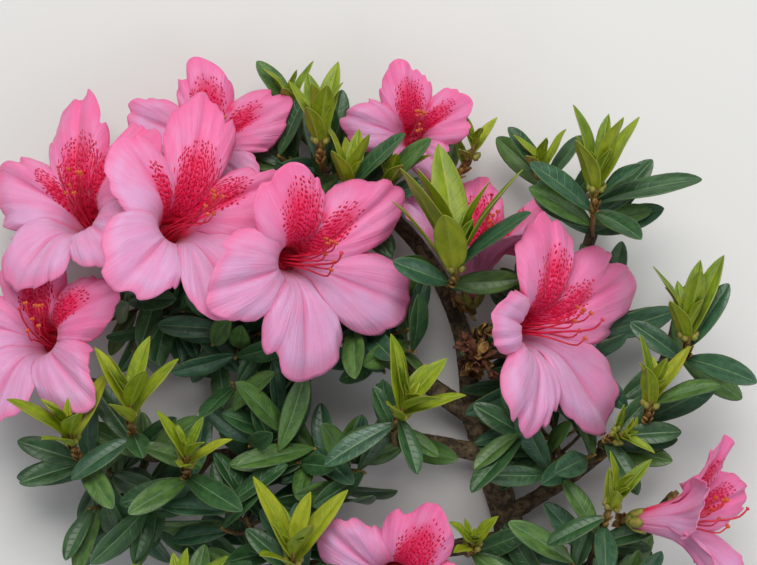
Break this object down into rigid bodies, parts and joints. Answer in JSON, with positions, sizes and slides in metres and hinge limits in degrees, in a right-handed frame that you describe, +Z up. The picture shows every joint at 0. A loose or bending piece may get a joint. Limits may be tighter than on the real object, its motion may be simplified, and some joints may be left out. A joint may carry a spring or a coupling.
{
  "type": "flowering azalea branch",
  "caption": "Cut branch of a flowering azalea lying on its back: forked limb, open pink blooms with spotted throats and leafy shoots, for dressing a garden or a table.",
  "frame": {"origin": "middle of the underside of the box round the branch, on the surface it lies on", "axes": "+Y from the cut end towards the tips, +X across the branch, +Z up, the way the blooms face"},
  "size_m": [0.3016, 0.231, 0.0981],
  "materials": {
    "bark": "matt, finely cracked",
    "petal": "soft, thin, faintly sheened",
    "young_leaf": "satin, downy",
    "old_leaf": "satin, leathery"
  },
  "bodies": {
    "root": {"main_limb": "bark", "bough_left": "bark", "bough_centre": "bark", "bough_upper_right": "bark", "bough_right": "bark", "bough_lower_right": "bark", "bough_lower_left": "bark", "bough_bottom_left": "bark", "bloom_1": "petal", "bloom_2": "petal", "bloom_3": "petal", "bloom_4": "petal", "bloom_5": "petal", "bloom_6": "petal", "bloom_7": "petal", "bloom_8": "petal", "bloom_9": "petal", "bloom_10": "petal", "shoot_1": "young_leaf", "shoot_2": "young_leaf", "shoot_3": "young_leaf", "shoot_4": "young_leaf", "shoot_5": "young_leaf", "shoot_6": "young_leaf", "shoot_7": "young_leaf", "shoot_8": "young_leaf", "shoot_9": "young_leaf", "shoot_10": "young_leaf", "shoot_11": "young_leaf", "shoot_12": "young_leaf", "shoot_13": "young_leaf", "shoot_14": "young_leaf", "shoot_15": "young_leaf", "shoot_16": "young_leaf", "shoot_17": "young_leaf", "shoot_18": "young_leaf", "shoot_19": "young_leaf", "inner_foliage_1": "old_leaf", "inner_foliage_2": "old_leaf", "inner_foliage_3": "old_leaf", "inner_foliage_4": "old_leaf", "inner_foliage_5": "old_leaf", "inner_foliage_6": "old_leaf", "inner_foliage_7": "old_leaf", "inner_foliage_8": "old_leaf", "inner_foliage_9": "old_leaf", "inner_foliage_10": "old_leaf", "inner_foliage_11": "old_leaf"}
  },
  "joints": []
}
